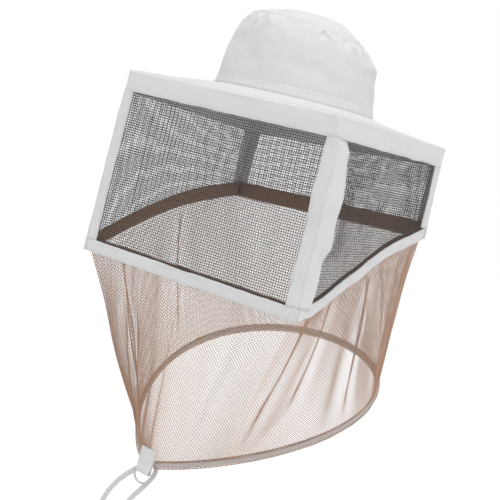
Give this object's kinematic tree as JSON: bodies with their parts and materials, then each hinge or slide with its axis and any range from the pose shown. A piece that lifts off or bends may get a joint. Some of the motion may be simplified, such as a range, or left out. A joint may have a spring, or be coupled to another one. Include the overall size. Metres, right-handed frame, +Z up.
{
  "type": "beekeeping hat with square veil",
  "caption": "Soft cotton hat with a square brim, four wire mesh window panels and a gathered net skirt closed by a drawcord with a tab and ring.",
  "frame": {"origin": "centre of the head opening, in the plane where the crown meets the brim", "axes": "+Z up through the crown, -Y the way the wearer faces, +X to the wearer's left"},
  "size_m": [0.3196, 0.303, 0.7597],
  "materials": {
    "white_cotton": "plain woven cotton, matt",
    "white_tape": "woven cotton tape, matt",
    "dark_mesh": "dark coated wire mesh, satin",
    "tan_net": "knitted nylon net, matt",
    "tan_binding": "folded nylon net, matt",
    "white_cord": "flat braided cotton cord, matt",
    "ring_metal": "nickel plated wire, polished"
  },
  "bodies": {
    "veil": {"crown_side": "white_cotton", "crown_top": "white_cotton", "crown_seam_tape": "white_tape", "hat_band": "white_cotton", "sweatband": "white_tape", "brim": "white_cotton", "brim_band": "white_cotton", "mesh_front": "dark_mesh", "mesh_right": "dark_mesh", "mesh_back": "dark_mesh", "mesh_left": "dark_mesh", "bottom_tape_front": "white_tape", "bottom_tape_right": "white_tape", "bottom_tape_back": "white_tape", "bottom_tape_left": "white_tape", "side_tape_front_left": "white_tape", "side_tape_front_right": "white_tape", "side_tape_right_left": "white_tape", "side_tape_right_right": "white_tape", "side_tape_back_left": "white_tape", "side_tape_back_right": "white_tape", "side_tape_left_left": "white_tape", "side_tape_left_right": "white_tape", "net_binding_front": "tan_binding", "net_binding_right": "tan_binding", "net_binding_back": "tan_binding", "net_binding_left": "tan_binding", "veil_net": "tan_net", "hem_channel": "tan_net", "drawcord": "white_cord", "cord_tab": "white_tape", "cord_end_left": "white_cord", "cord_hank_left": "white_cord", "hank_tie_left": "white_tape", "cord_tail_left": "white_cord", "cord_knot_left": "white_cord", "cord_end_right": "white_cord", "cord_hank_right": "white_cord", "hank_tie_right": "white_tape", "cord_tail_right": "white_cord", "cord_knot_right": "white_cord"},
    "ring": {"d_ring": "ring_metal"}
  },
  "joints": [
    {"name": "ring_swing", "type": "hinge", "parent": "veil", "child": "ring", "pos_m": [0, -0.13885, -0.4577], "axis": [1, 0, 0], "range_deg": [-160, 8]}
  ]
}
